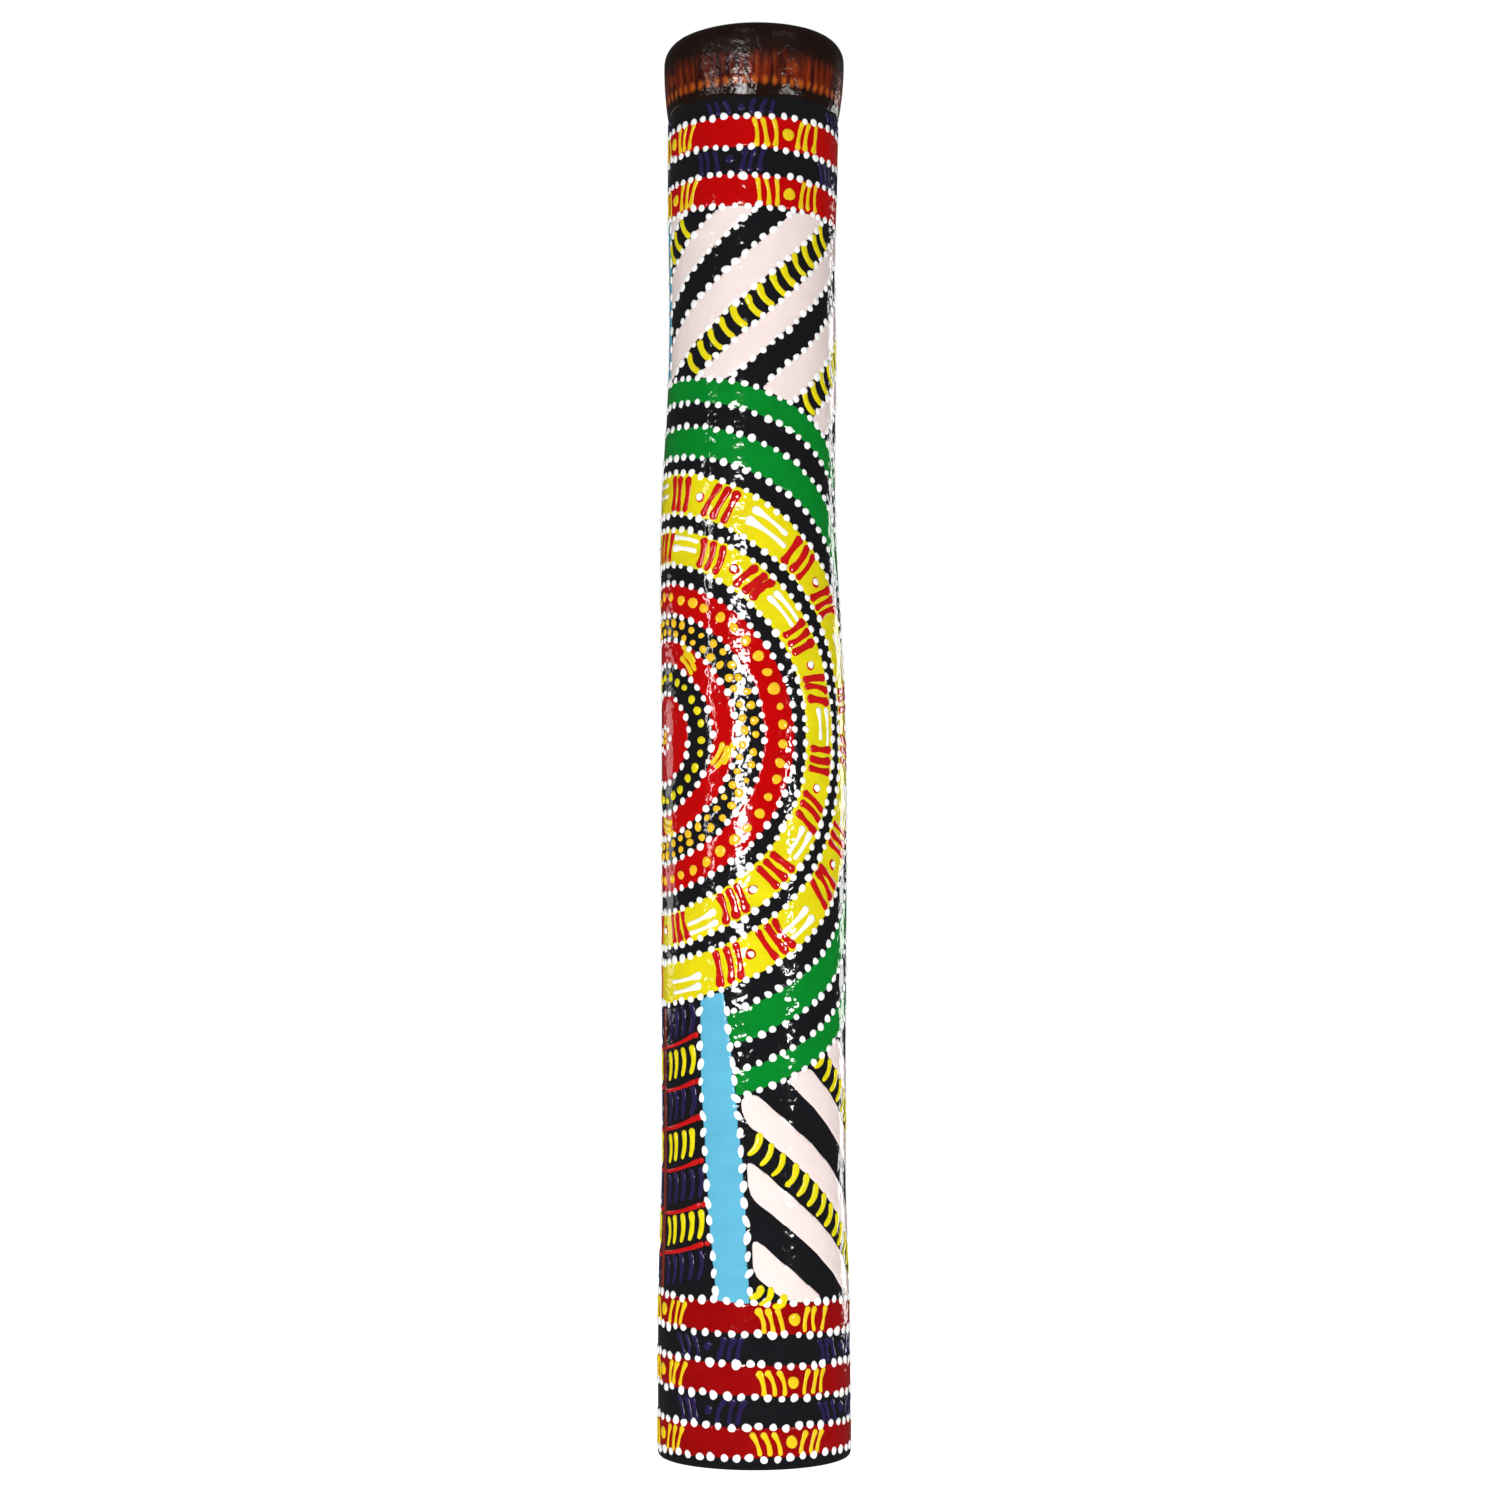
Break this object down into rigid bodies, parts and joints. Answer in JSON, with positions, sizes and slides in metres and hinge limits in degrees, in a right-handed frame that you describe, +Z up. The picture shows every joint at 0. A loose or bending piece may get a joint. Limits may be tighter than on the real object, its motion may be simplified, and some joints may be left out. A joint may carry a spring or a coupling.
{
  "type": "didgeridoo",
  "caption": "Short bamboo didgeridoo: a painted, lacquered bamboo culm bored through, with a moulded beeswax mouthpiece on its blowing end.",
  "frame": {"origin": "centre of the bell end, in the plane that the instrument stands on", "axes": "+Z up the bore from the bell end to the mouthpiece; -Y is the painted side with the large ring design to its left"},
  "size_m": [0.0672, 0.0672, 0.5],
  "materials": {
    "painted_bamboo": "hand-painted acrylic in black, red, yellow, green, pink, blue and white under a glossy lacquer; bare bamboo in the bore",
    "beeswax": "dark amber beeswax, glossy and slightly see-through where it is thin"
  },
  "bodies": {
    "root": {"bamboo_culm": "painted_bamboo", "beeswax_mouthpiece": "beeswax"}
  },
  "joints": []
}
